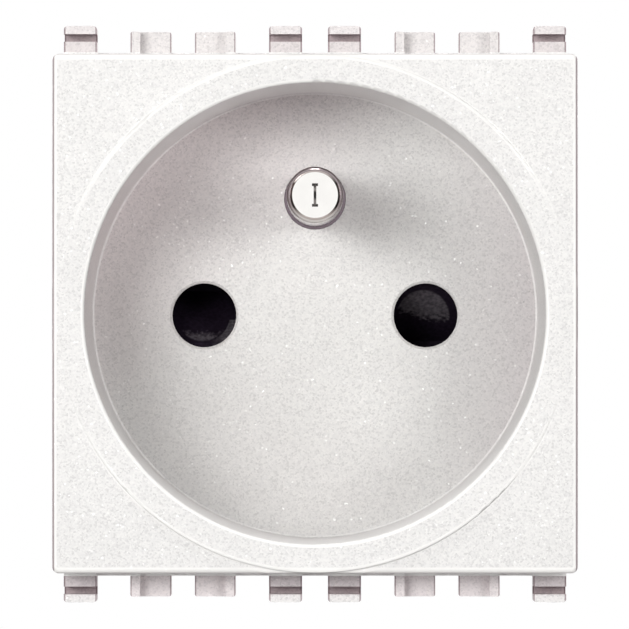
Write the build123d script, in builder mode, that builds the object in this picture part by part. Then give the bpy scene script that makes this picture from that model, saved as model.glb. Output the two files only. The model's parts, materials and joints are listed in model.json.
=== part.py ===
from build123d import *
from math import asin, cos, degrees, radians, sin
import os

# Two-module socket outlet insert for round-pin plugs, with the earth pin in the socket.
# X runs to the right and Z up as seen from the front, and Y runs into the wall.
# The origin lies on the plug axis, in the plane where the clip teeth seat on the mounting frame.
# All sizes are in millimetres and all angles in degrees.

# Plug recess and the flat rim around its mouth
RECESS_DIAMETER = 38.9
RECESS_DEPTH = 15.0
RECESS_TAPER = 0.35
RECESS_LIP_RADIUS = 0.3
RECESS_FLOOR_RADIUS = 0.2
RIM_WIDTH = 2.4
RIM_RISE = 0.02
RIM_EDGE_RADIUS = 0.22
CUP_WALL = 1.2
FLOOR_THICKNESS = 2.0

# Face, arched from top to bottom, and the skirt behind it
FACE_TOP_MARGIN = 0.05
FACE_SIDE_MARGIN = 0.3
FACE_FALL = 0.4
FACE_EDGE_RADIUS = 0.35
FACE_CORNER_RADIUS = 0.55
FACE_WALL = 1.8
SKIRT_WALL = 1.4
FRONT_DEPTH = 9.0
SKIRT_OVERLAP = 1.5

# Clip teeth: in each module two grooved hooks at the ends and two ribbed stubs near the middle
MODULE_GAP = 0.25
HOOK_OFFSET = 8.7
HOOK_WIDTH = 2.8
HOOK_HEIGHT = 2.54
HOOK_DEPTH = 3.6
HOOK_TIP = 0.69
HOOK_GROOVE = 0.65
HOOK_GROOVE_DEPTH = 2.7
HOOK_CORNER_RADIUS = 0.3
STUB_START = 1.0
STUB_PLATE_WIDTH = 2.62
STUB_RIB_WIDTH = 0.83
STUB_HEIGHT = 2.06
STUB_PLATE_DEPTH = 2.4
STUB_CORNER_RADIUS = 0.2
LEDGE_RISE = 0.3
LEDGE_DEPTH = 2.0

# Plug pins and earth pin
PIN_SPACING = 19.0
PIN_HOLE_DIAMETER = 5.5
PIN_HOLE_CHAMFER = 0.2
PLUG_PIN_LENGTH = 19.0
PLUG_PIN_END_GAP = 0.2
EARTH_PIN_DIAMETER = 4.8
EARTH_PIN_OFFSET = 10.0
EARTH_PIN_LENGTH = 14.0
EARTH_PIN_TIP_RADIUS = 0.45
EARTH_SEAT_DIAMETER = 5.2
EARTH_SEAT_CLEARANCE = 0.05
EARTH_SEAT_SINK = 0.5
EARTH_NECK_DIAMETER = 3.8
EARTH_FLANGE_DIAMETER = 7.0
EARTH_FLANGE_THICKNESS = 1.0
RIVET_DIAMETER = 3.0
RIVET_HEAD_DIAMETER = 4.4
RIVET_HEAD_THICKNESS = 0.8
TIP_MARK_LENGTH = 1.74
TIP_MARK_WIDTH = 0.24
TIP_MARK_BAR = 0.52
TIP_MARK_DEPTH = 0.25

# Shutter, its tray and its leaf spring
SHUTTER_THICKNESS = 6.0
SHUTTER_PLAY = 0.3
SHUTTER_COVER = 0.5
SHUTTER_WEB = 1.5
SHUTTER_HUB_RADIUS = 4.2
SHUTTER_HUB_SINK = 0.7
RAMP_LAND = 0.9
RAMP_DEPTH = 5.0
RAMP_RUN = 4.5
PIVOT_RADIUS = 2.0
PIVOT_CLEARANCE = 0.06
TRAY_FLOOR = 1.2
TRAY_RIM = 1.3
TRAY_SWING_GAP = 2.0
TRAY_PLAY = 0.15
TRAY_PIN_HOLE_DIAMETER = 5.8
TRAY_NOTCH_PLAY = 0.4
SPRING_THICKNESS = 0.3
SPRING_HEIGHT = 2.4
SPRING_REACH = 9.0
SPRING_REST_X = 1.5
SPRING_REST_Z = -8.4
SPRING_ANCHOR_ANGLE = -36.0
SPRING_ANCHOR_DEPTH = 0.7
SPRING_BEND_RADIUS = 4.0
SPRING_GAP = 0.1
TRAY_END_PLAY = 0.1
SPRING_POST_RADIUS = 1.2

# Strip parts: contacts, their steel clips and the earth strap
STRIP_THICKNESS = 0.7
STRIP_WIDTH = 6.0
STRIP_BEND_RADIUS = 1.0
CONTACT_THROAT = 4.4
CONTACT_BODY = 5.7
CONTACT_MOUTH = 6.1
CONTACT_MOUTH_LENGTH = 3.0
CONTACT_GAP = 0.3
CLIP_THICKNESS = 0.5
CLIP_WIDTH = 4.0
CLIP_MOUTH_RISE = 0.35
CLIP_GAP = 0.12
STRAP_END_MARGIN = 0.5
STRAP_RIVET_GAP = 0.6

# Terminals
TERMINAL_INSET = 9.9
BLOCK_WIDTH = 9.0
BLOCK_LENGTH = 8.0
BLOCK_INNER_WALL = 0.8
BLOCK_SIDE_WALL = 0.9
BLOCK_SCREW_WALL = 1.6
BLOCK_EDGE = 0.3
BLOCK_FRONT_GAP = 0.5
WIRE_GAP = 2.2
CLAMP_THICKNESS = 0.8
CLAMP_LENGTH = 6.0
CLAMP_PLAY = 0.2
SCREW_DIAMETER = 3.5
SCREW_CLEARANCE = 0.05
SCREW_LIFT = 0.6
SCREW_HEAD_DIAMETER = 5.4
SCREW_HEAD_HEIGHT = 2.0
SCREW_SLOT_WIDTH = 0.8
SCREW_SLOT_DEPTH = 1.0
SCREW_WELL_PLAY = 0.3

# Rear housing
HOUSING_INSET = 0.2
HOUSING_CORNER_RADIUS = 1.6
HOUSING_DRAFT = 0.5
HOUSING_EDGE_RADIUS = 0.6
HOUSING_BEVEL = 3.0
HOUSING_REAR_WALL = 1.9
PANEL_LENGTH = 14.0
PANEL_HEIGHT = 30.0
PANEL_CORNER_RADIUS = 2.0
PANEL_DEPTH = 0.6
PANEL_REAR_MARGIN = 3.0
CUP_CLEARANCE = 0.15
POCKET_PLAY = 0.15
POCKET_END_PLAY = 0.3
WIRE_ENTRY_DIAMETER = 3.4
WIRE_ENTRY_FUNNEL = 4.8
WIRE_ENTRY_PITCH = 3.8
WIRE_PAD_MARGIN = 1.0
WIRE_PAD_RISE = 0.6
CORE_WALL = 1.4
CORE_RIB = 1.2
CORE_SLOT_DEPTH = 8.0

# Case screws on one diagonal of the corners, locating pegs on the other
CORNER_INSET = 4.25
CASE_SCREW_DIAMETER = 2.4
CASE_SCREW_CLEARANCE = 0.05
CASE_SCREW_HEAD_DIAMETER = 4.4
CASE_SCREW_HEAD_HEIGHT = 1.6
CASE_SCREW_GRIP = 4.0
CASE_SCREW_REACH = 6.0
CASE_SCREW_END_GAP = 0.5
CASE_WELL_PLAY = 0.3
BOSS_DIAMETER = 4.8
PEG_DIAMETER = 2.8
PEG_LENGTH = 3.0
PEG_CLEARANCE = 0.1

# Outlines worked out from the sizes above
recess_radius = RECESS_DIAMETER / 2
recess_floor_radius = recess_radius - RECESS_TAPER
rim_radius = recess_radius + RIM_WIDTH
cup_radius = recess_radius + CUP_WALL
face_half_width = rim_radius + FACE_SIDE_MARGIN
face_half_height = rim_radius + FACE_TOP_MARGIN
module_pitch = face_half_width + MODULE_GAP
corner_x = face_half_width - CORNER_INSET
corner_z = face_half_height - CORNER_INSET
pin_x = PIN_SPACING / 2
pin_hole_radius = PIN_HOLE_DIAMETER / 2

# Depths from front to back
rim_y = -FRONT_DEPTH
crest_y = rim_y + RIM_RISE
edge_y = crest_y + FACE_FALL
rim_back_y = edge_y + FACE_WALL / 2
floor_y = rim_y + RECESS_DEPTH
cup_end_y = floor_y + FLOOR_THICKNESS
shutter_front_y = cup_end_y + SHUTTER_PLAY
shutter_back_y = shutter_front_y + SHUTTER_THICKNESS
tray_floor_y = shutter_back_y + SHUTTER_PLAY
tray_back_y = tray_floor_y + TRAY_FLOOR
contact_front_y = tray_back_y + CONTACT_GAP
contact_back_y = floor_y + PLUG_PIN_LENGTH + PLUG_PIN_END_GAP + STRIP_THICKNESS
clip_back_y = contact_back_y + CLIP_GAP + CLIP_THICKNESS
block_need_y = contact_front_y + STRIP_THICKNESS + BLOCK_FRONT_GAP + BLOCK_LENGTH
pocket_end_y = max(clip_back_y, block_need_y) + POCKET_END_PLAY
housing_back_y = pocket_end_y + HOUSING_REAR_WALL
block_back_y = pocket_end_y - POCKET_PLAY
block_mid_y = block_back_y - BLOCK_LENGTH / 2

# Levels in a terminal, measured outwards from the plug axis
rivet_level = EARTH_PIN_OFFSET + RIVET_HEAD_DIAMETER / 2 + STRAP_RIVET_GAP
terminal_level = max(face_half_height - TERMINAL_INSET, rivet_level - BLOCK_INNER_WALL)
window_level = terminal_level + BLOCK_INNER_WALL
tail_level = window_level + STRIP_THICKNESS / 2
wire_level = window_level + STRIP_THICKNESS + WIRE_GAP / 2
clamp_level = window_level + STRIP_THICKNESS + WIRE_GAP
clamp_top_level = clamp_level + CLAMP_THICKNESS
window_top_level = clamp_top_level + CLAMP_PLAY
block_top_level = window_top_level + BLOCK_SCREW_WALL
screw_seat_level = block_top_level + SCREW_LIFT
terminal_sites = {"line": (pin_x, -1), "neutral": (-pin_x, -1), "earth": (0, 1)}


def front_plane(y):
    """Plane at depth y that faces the front, with local x to the right and local y up."""
    return Plane.XZ.offset(-y)


def rear_plane(y):
    """Plane at depth y that faces the rear, with local x to the left and local y up."""
    return Plane(origin=(0, y, 0), x_dir=(-1, 0, 0), z_dir=(0, 1, 0))


def terminal_plane(x, side, level):
    """Plane at a terminal, at a level above (side 1) or below (side -1) the plug axis, facing out."""
    return Plane(origin=(x, block_mid_y, side * level), x_dir=(1, 0, 0), z_dir=(0, 0, side))


def save(piece, name):
    """Label a finished piece and write it as one STEP file."""
    piece.part.label = name
    export_step(piece.part, f"parts/{name}.step")


os.makedirs("parts", exist_ok=True)

# Clip teeth of one long edge, made for the top edge
tooth_root = face_half_height - SKIRT_WALL / 2
hook_top = face_half_height + HOOK_HEIGHT
groove_mid = hook_top - HOOK_TIP - HOOK_GROOVE / 2
stub_top = face_half_height + STUB_HEIGHT
ledge_half = module_pitch / 2 + HOOK_OFFSET - HOOK_WIDTH / 2
module_centres = (-module_pitch / 2, module_pitch / 2)
hook_places = [(centre + step, 0) for centre in module_centres for step in (-HOOK_OFFSET, HOOK_OFFSET)]
stub_width = STUB_PLATE_WIDTH + STUB_RIB_WIDTH
stub_step = STUB_START + stub_width / 2
rib_step = STUB_START + STUB_PLATE_WIDTH + STUB_RIB_WIDTH / 2
stub_places = [(centre + step, 0) for centre in module_centres for step in (-stub_step, stub_step)]
rib_places = [(centre + step, 0) for centre in module_centres for step in (-rib_step, rib_step)]

with BuildPart() as clip_row:
    with BuildSketch(front_plane(0)):
        with Locations((0, tooth_root)):
            with Locations(*hook_places):
                Rectangle(HOOK_WIDTH, hook_top - tooth_root, align=(Align.CENTER, Align.MIN))
        fillet(vertices().group_by(Axis.Y)[-1], HOOK_CORNER_RADIUS)
    extrude(amount=HOOK_DEPTH)
    with BuildSketch(front_plane(-HOOK_DEPTH)):
        with Locations((0, groove_mid)):
            with Locations(*hook_places):
                Rectangle(HOOK_WIDTH, HOOK_GROOVE)
    extrude(amount=-HOOK_GROOVE_DEPTH, mode=Mode.SUBTRACT)
    with BuildSketch(front_plane(0)):
        with Locations((0, tooth_root)):
            with Locations(*stub_places):
                Rectangle(stub_width, stub_top - tooth_root, align=(Align.CENTER, Align.MIN))
        fillet(vertices().group_by(Axis.Y)[-1], STUB_CORNER_RADIUS)
    extrude(amount=STUB_PLATE_DEPTH)
    with BuildSketch(front_plane(0)):
        with Locations((0, tooth_root)):
            with Locations(*rib_places):
                Rectangle(STUB_RIB_WIDTH, stub_top - tooth_root, align=(Align.CENTER, Align.MIN))
        fillet(vertices().group_by(Axis.Y)[-1], STUB_CORNER_RADIUS)
    extrude(amount=HOOK_DEPTH)
    with BuildSketch(front_plane(0)):
        with Locations((0, tooth_root)):
            Rectangle(
                2 * ledge_half,
                face_half_height + LEDGE_RISE - tooth_root,
                align=(Align.CENTER, Align.MIN),
            )
    extrude(amount=LEDGE_DEPTH)

# Front cover: arched face block, hollowed from behind, with the recess cup let into it
boss_places = ((-corner_x, corner_z), (corner_x, -corner_z))
peg_places = ((corner_x, corner_z), (-corner_x, -corner_z))
inner_half_width = face_half_width - SKIRT_WALL
inner_half_height = face_half_height - SKIRT_WALL

with BuildPart() as front_cover:
    with BuildSketch(front_plane(SKIRT_OVERLAP)):
        RectangleRounded(2 * face_half_width, 2 * face_half_height, FACE_CORNER_RADIUS)
    extrude(amount=SKIRT_OVERLAP - rim_y)
    with BuildSketch(Plane.YZ):
        with BuildLine():
            arch = ThreePointArc((edge_y, -face_half_height), (crest_y, 0), (edge_y, face_half_height))
            Polyline(arch @ 1, (rim_y, face_half_height), (rim_y, -face_half_height), arch @ 0)
        make_face()
    extrude(amount=face_half_width, both=True, mode=Mode.SUBTRACT)
    fillet(faces().sort_by(Axis.Y)[0].edges(), FACE_EDGE_RADIUS)
    with BuildSketch(Plane.YZ):
        with BuildLine():
            arch_back = ThreePointArc(
                (edge_y + FACE_WALL, -inner_half_height),
                (crest_y + FACE_WALL, 0),
                (edge_y + FACE_WALL, inner_half_height),
            )
            Polyline(
                arch_back @ 1,
                (SKIRT_OVERLAP, inner_half_height),
                (SKIRT_OVERLAP, -inner_half_height),
                arch_back @ 0,
            )
        make_face()
    extrude(amount=inner_half_width, both=True, mode=Mode.SUBTRACT)
    with BuildSketch(front_plane(SKIRT_OVERLAP)):
        Circle(recess_radius + CUP_WALL / 2)
    extrude(amount=SKIRT_OVERLAP - rim_y, mode=Mode.SUBTRACT)
    with BuildSketch(Plane.XY) as cup_profile:
        with BuildLine():
            Polyline(
                (recess_radius, rim_y),
                (rim_radius, rim_y),
                (rim_radius, rim_back_y),
                (cup_radius, rim_back_y),
                (cup_radius, cup_end_y),
                (0, cup_end_y),
                (0, floor_y),
                (recess_floor_radius, floor_y),
                close=True,
            )
        make_face()
        fillet(vertices().sort_by_distance((recess_radius, rim_y))[0], RECESS_LIP_RADIUS)
        fillet(vertices().sort_by_distance((rim_radius, rim_y))[0], RIM_EDGE_RADIUS)
        fillet(vertices().sort_by_distance((recess_floor_radius, floor_y))[0], RECESS_FLOOR_RADIUS)
    revolve(axis=Axis.Y)
    with BuildSketch(front_plane(SKIRT_OVERLAP)):
        with Locations(*boss_places):
            Circle(BOSS_DIAMETER / 2)
    extrude(amount=SKIRT_OVERLAP - rim_back_y)
    with BuildSketch(front_plane(SKIRT_OVERLAP + PEG_LENGTH)):
        with Locations(*peg_places):
            Circle(PEG_DIAMETER / 2)
    extrude(amount=SKIRT_OVERLAP + PEG_LENGTH - rim_back_y)
    with BuildSketch(front_plane(SKIRT_OVERLAP)):
        with Locations(*boss_places):
            Circle(CASE_SCREW_DIAMETER / 2 + CASE_SCREW_CLEARANCE)
    extrude(amount=CASE_SCREW_REACH, mode=Mode.SUBTRACT)
    with Locations(front_plane(floor_y)):
        with Locations((-pin_x, 0), (pin_x, 0)):
            CounterSinkHole(
                radius=pin_hole_radius,
                counter_sink_radius=pin_hole_radius + PIN_HOLE_CHAMFER,
                depth=FLOOR_THICKNESS,
                counter_sink_angle=90,
            )
        with Locations((0, EARTH_PIN_OFFSET)):
            Hole(radius=EARTH_SEAT_DIAMETER / 2 + EARTH_SEAT_CLEARANCE, depth=FLOOR_THICKNESS)
    add(clip_row.part)
    mirror(clip_row.part, about=Plane.XY)
save(front_cover, "front_cover")

# Earth pin: round-nosed pin with a neck and a seat in the recess floor, a flange and a riveted tail
earth_tip_y = floor_y - EARTH_PIN_LENGTH
flange_back_y = cup_end_y + EARTH_FLANGE_THICKNESS
strap_back_y = flange_back_y + STRIP_THICKNESS
rivet_end_y = strap_back_y + RIVET_HEAD_THICKNESS

with BuildPart() as earth_pin:
    with BuildSketch(front_plane(floor_y)):
        with Locations((0, EARTH_PIN_OFFSET)):
            Circle(EARTH_PIN_DIAMETER / 2)
    extrude(amount=EARTH_PIN_LENGTH)
    fillet(edges().sort_by(Axis.Y)[0], EARTH_PIN_TIP_RADIUS)
    with BuildSketch(front_plane(cup_end_y)):
        with Locations((0, EARTH_PIN_OFFSET)):
            Circle(EARTH_NECK_DIAMETER / 2)
    extrude(amount=FLOOR_THICKNESS)
    with BuildSketch(front_plane(cup_end_y)):
        with Locations((0, EARTH_PIN_OFFSET)):
            Circle(EARTH_SEAT_DIAMETER / 2)
    extrude(amount=FLOOR_THICKNESS - EARTH_SEAT_SINK)
    with BuildSketch(front_plane(flange_back_y)):
        with Locations((0, EARTH_PIN_OFFSET)):
            Circle(EARTH_FLANGE_DIAMETER / 2)
    extrude(amount=EARTH_FLANGE_THICKNESS)
    with BuildSketch(front_plane(strap_back_y)):
        with Locations((0, EARTH_PIN_OFFSET)):
            Circle(RIVET_DIAMETER / 2)
    extrude(amount=STRIP_THICKNESS)
    with BuildSketch(front_plane(rivet_end_y)):
        with Locations((0, EARTH_PIN_OFFSET)):
            Circle(RIVET_HEAD_DIAMETER / 2)
    extrude(amount=RIVET_HEAD_THICKNESS)
    with BuildSketch(front_plane(earth_tip_y)):
        with Locations((0, EARTH_PIN_OFFSET)):
            Rectangle(TIP_MARK_WIDTH, TIP_MARK_LENGTH)
            with Locations((0, TIP_MARK_LENGTH / 2), (0, -TIP_MARK_LENGTH / 2)):
                Rectangle(TIP_MARK_BAR, TIP_MARK_WIDTH)
    extrude(amount=-TIP_MARK_DEPTH, mode=Mode.SUBTRACT)
save(earth_pin, "earth_pin")

# Earth strap: strip from the rivet up to the terminal, bent back into its window
strap_mid_y = flange_back_y + STRIP_THICKNESS / 2
strap_start = EARTH_PIN_OFFSET - RIVET_HEAD_DIAMETER / 2 - STRAP_END_MARGIN
tail_end_y = block_back_y - STRAP_END_MARGIN

with BuildPart() as earth_strap:
    with BuildSketch(Plane.YZ):
        with BuildLine():
            FilletPolyline(
                (strap_mid_y, strap_start),
                (strap_mid_y, tail_level),
                (tail_end_y, tail_level),
                radius=STRIP_BEND_RADIUS,
            )
        trace(line_width=STRIP_THICKNESS)
    extrude(amount=STRIP_WIDTH / 2, both=True)
    with Locations(front_plane(flange_back_y)):
        with Locations((0, EARTH_PIN_OFFSET)):
            Hole(radius=RIVET_DIAMETER / 2, depth=STRIP_THICKNESS)
save(earth_strap, "earth_strap")

# Shutter: two blades on a hub, each with a land and a steep ramp that the plug pin pushes aside
blade_reach = pin_hole_radius + SHUTTER_COVER
blade_half_angle = degrees(asin(blade_reach / pin_x))
blade_inner = pin_x - blade_reach
blade_outer = pin_x + blade_reach
web_front_y = shutter_back_y - SHUTTER_WEB
hub_front_y = shutter_front_y + SHUTTER_HUB_SINK
blade_drop = blade_outer * sin(radians(blade_half_angle))
ramp_top = blade_reach - RAMP_LAND
ramp_end = -blade_drop - RAMP_LAND
ramp_side = blade_inner * cos(radians(blade_half_angle))

with BuildPart() as shutter:
    with BuildSketch(front_plane(shutter_back_y)):
        with BuildLine():
            outer = CenterArc((0, 0), blade_outer, -blade_half_angle, 2 * blade_half_angle)
            inner = CenterArc((0, 0), blade_inner, -blade_half_angle, 2 * blade_half_angle)
            Line(outer @ 0, inner @ 0)
            Line(outer @ 1, inner @ 1)
        make_face()
        mirror(about=Plane.YZ)
    extrude(amount=SHUTTER_THICKNESS)
    with BuildSketch(front_plane(shutter_back_y)):
        Rectangle(2 * blade_inner + blade_reach, 2 * blade_inner * sin(radians(blade_half_angle)))
    extrude(amount=SHUTTER_WEB)
    for side in (1, -1):
        with BuildSketch(Plane(origin=(side * ramp_side, 0, 0), x_dir=(0, 1, 0), z_dir=(side, 0, 0))):
            with BuildLine():
                Polyline(
                    (shutter_front_y, ramp_top),
                    (shutter_front_y + RAMP_DEPTH, ramp_top - RAMP_RUN),
                    (shutter_front_y + RAMP_DEPTH, ramp_end),
                    (shutter_front_y, ramp_end),
                    close=True,
                )
            make_face()
        extrude(amount=2 * blade_reach + SHUTTER_COVER, mode=Mode.SUBTRACT)
    with BuildSketch(front_plane(shutter_back_y)):
        Circle(SHUTTER_HUB_RADIUS)
    extrude(amount=shutter_back_y - hub_front_y)
    with BuildSketch(front_plane(shutter_back_y)):
        Circle(PIVOT_RADIUS + PIVOT_CLEARANCE)
    extrude(amount=SHUTTER_THICKNESS, mode=Mode.SUBTRACT)
save(shutter, "shutter")

# Leaf spring: held in a slit of the tray rim, resting on a post, its free end on the left blade
tray_inner_radius = blade_outer + TRAY_SWING_GAP
tray_radius = tray_inner_radius + TRAY_RIM
spring_mid_y = (hub_front_y + web_front_y) / 2
anchor_radius = tray_inner_radius + SPRING_ANCHOR_DEPTH
spring_anchor = Vector(anchor_radius, 0).rotate(Axis.Z, SPRING_ANCHOR_ANGLE)
spring_rest = Vector(SPRING_REST_X, SPRING_REST_Z)
spring_tip = Vector(SPRING_REACH, SPRING_GAP + SPRING_THICKNESS / 2).rotate(Axis.Z, 180 + blade_half_angle)

with BuildPart() as shutter_spring:
    with BuildSketch(front_plane(spring_mid_y)):
        with BuildLine():
            FilletPolyline(spring_anchor, spring_rest, spring_tip, radius=SPRING_BEND_RADIUS)
        trace(line_width=SPRING_THICKNESS)
    extrude(amount=SPRING_HEIGHT / 2, both=True)
save(shutter_spring, "shutter_spring")

# Shutter tray: shallow round tray with the pivot post, pin holes, and a notch for the earth parts
tray_front_y = cup_end_y + TRAY_END_PLAY
notch_half = EARTH_FLANGE_DIAMETER / 2 + TRAY_NOTCH_PLAY
notch_start = EARTH_PIN_OFFSET - notch_half
post_z = SPRING_REST_Z - SPRING_THICKNESS / 2 - SPRING_GAP - SPRING_POST_RADIUS
anchor_direction = (spring_anchor - spring_rest).normalized()
slit_end = spring_anchor + anchor_direction * SPRING_GAP
slit_start = spring_anchor - anchor_direction * 2 * TRAY_RIM

with BuildPart() as shutter_tray:
    with BuildSketch(front_plane(tray_back_y)):
        Circle(tray_radius)
    extrude(amount=tray_back_y - tray_front_y)
    with BuildSketch(front_plane(tray_floor_y)):
        Circle(tray_inner_radius)
    extrude(amount=tray_floor_y - tray_front_y, mode=Mode.SUBTRACT)
    with BuildSketch(front_plane(tray_floor_y)):
        Circle(PIVOT_RADIUS)
    extrude(amount=tray_floor_y - hub_front_y)
    with BuildSketch(front_plane(tray_floor_y)):
        with Locations((SPRING_REST_X, post_z)):
            Circle(SPRING_POST_RADIUS)
    extrude(amount=tray_floor_y - hub_front_y)
    with BuildSketch(front_plane(tray_back_y)):
        with Locations((-pin_x, 0), (pin_x, 0)):
            Circle(TRAY_PIN_HOLE_DIAMETER / 2)
        with Locations((0, notch_start)):
            Rectangle(2 * notch_half, tray_radius, align=(Align.CENTER, Align.MIN))
    extrude(amount=tray_back_y - tray_front_y, mode=Mode.SUBTRACT)
    with BuildSketch(front_plane(spring_mid_y + SPRING_HEIGHT / 2 + SPRING_GAP)):
        with BuildLine():
            Line(slit_start, slit_end)
        trace(line_width=SPRING_THICKNESS + 2 * SPRING_GAP)
    extrude(amount=tray_back_y - tray_front_y, mode=Mode.SUBTRACT)
save(shutter_tray, "shutter_tray")

# Contacts: one formed strip each, from the sprung fork round to the tail in the terminal window
contact_mid_y = contact_front_y + STRIP_THICKNESS / 2
throat_y = contact_mid_y + CONTACT_MOUTH_LENGTH
fork_end_y = contact_back_y - STRIP_THICKNESS / 2
shoulder_y = (throat_y + fork_end_y) / 2
mouth_z = CONTACT_MOUTH / 2 + STRIP_THICKNESS / 2
throat_z = CONTACT_THROAT / 2 + STRIP_THICKNESS / 2
body_z = CONTACT_BODY / 2 + STRIP_THICKNESS / 2
clip_step = STRIP_THICKNESS / 2 + CLIP_GAP + CLIP_THICKNESS / 2
clip_end_y = fork_end_y + clip_step

for side_name, site_x in (("line", pin_x), ("neutral", -pin_x)):
    with BuildPart() as contact:
        with BuildSketch(Plane.YZ.offset(site_x)):
            with BuildLine():
                FilletPolyline(
                    (contact_mid_y, mouth_z),
                    (throat_y, throat_z),
                    (shoulder_y, body_z),
                    (fork_end_y, body_z),
                    (fork_end_y, -body_z),
                    (shoulder_y, -body_z),
                    (throat_y, -throat_z),
                    (contact_mid_y, -mouth_z),
                    (contact_mid_y, -tail_level),
                    (tail_end_y, -tail_level),
                    radius=STRIP_BEND_RADIUS,
                )
            trace(line_width=STRIP_THICKNESS)
        extrude(amount=STRIP_WIDTH / 2, both=True)
    save(contact, f"{side_name}_contact")

    with BuildPart() as contact_clip:
        with BuildSketch(Plane.YZ.offset(site_x)):
            with BuildLine():
                FilletPolyline(
                    (throat_y - CONTACT_MOUTH_LENGTH / 2, throat_z + clip_step + CLIP_MOUTH_RISE),
                    (throat_y, throat_z + clip_step),
                    (shoulder_y, body_z + clip_step),
                    (clip_end_y, body_z + clip_step),
                    (clip_end_y, -body_z - clip_step),
                    (shoulder_y, -body_z - clip_step),
                    (throat_y, -throat_z - clip_step),
                    (throat_y - CONTACT_MOUTH_LENGTH / 2, -throat_z - clip_step - CLIP_MOUTH_RISE),
                    radius=STRIP_BEND_RADIUS,
                )
            trace(line_width=CLIP_THICKNESS)
        extrude(amount=CLIP_WIDTH / 2, both=True)
    save(contact_clip, f"{side_name}_contact_clip")

# Terminals: a tunnel block, the plate inside it and the screw that presses the plate on the wires
window_width = BLOCK_WIDTH - 2 * BLOCK_SIDE_WALL

for site_name, (site_x, site_side) in terminal_sites.items():
    with BuildPart() as terminal:
        with BuildSketch(terminal_plane(site_x, site_side, terminal_level)):
            Rectangle(BLOCK_WIDTH, BLOCK_LENGTH)
        extrude(amount=block_top_level - terminal_level)
        chamfer(edges().filter_by(Axis.Y), BLOCK_EDGE)
        with BuildSketch(terminal_plane(site_x, site_side, window_level)):
            Rectangle(window_width, BLOCK_LENGTH)
        extrude(amount=window_top_level - window_level, mode=Mode.SUBTRACT)
        with Locations(terminal_plane(site_x, site_side, block_top_level)):
            Hole(radius=SCREW_DIAMETER / 2 + SCREW_CLEARANCE, depth=BLOCK_SCREW_WALL)
    save(terminal, f"{site_name}_terminal")

    with BuildPart() as clamp_plate:
        with BuildSketch(terminal_plane(site_x, site_side, clamp_level)):
            Rectangle(window_width - 2 * CLAMP_PLAY, CLAMP_LENGTH)
        extrude(amount=CLAMP_THICKNESS)
    save(clamp_plate, f"{site_name}_clamp_plate")

    with BuildPart() as terminal_screw:
        with BuildSketch(terminal_plane(site_x, site_side, clamp_top_level)):
            Circle(SCREW_DIAMETER / 2)
        extrude(amount=screw_seat_level - clamp_top_level)
        with BuildSketch(terminal_plane(site_x, site_side, screw_seat_level)):
            Circle(SCREW_HEAD_DIAMETER / 2)
        extrude(amount=SCREW_HEAD_HEIGHT)
        with BuildSketch(terminal_plane(site_x, site_side, screw_seat_level + SCREW_HEAD_HEIGHT)):
            Rectangle(SCREW_HEAD_DIAMETER, SCREW_SLOT_WIDTH)
        extrude(amount=-SCREW_SLOT_DEPTH, mode=Mode.SUBTRACT)
    save(terminal_screw, f"{site_name}_terminal_screw")

# Rear housing: drafted box with the cup seat, the tray bore, three chambers and the wire entries
housing_width = 2 * (face_half_width - HOUSING_INSET)
housing_height = 2 * (face_half_height - HOUSING_INSET)
cup_seat_y = cup_end_y + TRAY_END_PLAY
pocket_width = BLOCK_WIDTH + 2 * POCKET_PLAY
pocket_base = terminal_level - POCKET_PLAY
pocket_top = block_top_level + POCKET_PLAY
contact_pocket_top = body_z + clip_step + CLIP_THICKNESS / 2 + POCKET_PLAY
screw_well_radius = SCREW_HEAD_DIAMETER / 2 + SCREW_WELL_PLAY
case_well_radius = CASE_SCREW_HEAD_DIAMETER / 2 + CASE_WELL_PLAY
case_seat_y = SKIRT_OVERLAP + CASE_SCREW_GRIP
wire_places = [
    (site_x + step, site_side * wire_level)
    for site_x, site_side in terminal_sites.values()
    for step in (-WIRE_ENTRY_PITCH / 2, WIRE_ENTRY_PITCH / 2)
]
pad_places = [(site_x, site_side * wire_level) for site_x, site_side in terminal_sites.values()]
core_start = pocket_width / 2 + CORE_WALL
core_end = corner_x - CORE_WALL
core_slot_width = (core_end - core_start - 2 * CORE_RIB) / 3
core_base = contact_pocket_top + CORE_WALL
core_height = corner_z - case_well_radius - CORE_WALL - core_base
core_mid_x = (core_start + core_end) / 2
core_mid_z = core_base + core_height / 2
pad_height = WIRE_ENTRY_FUNNEL + 2 * WIRE_PAD_MARGIN
pad_back_y = housing_back_y + WIRE_PAD_RISE
panel_mid_y = housing_back_y - PANEL_REAR_MARGIN - PANEL_LENGTH / 2

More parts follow.
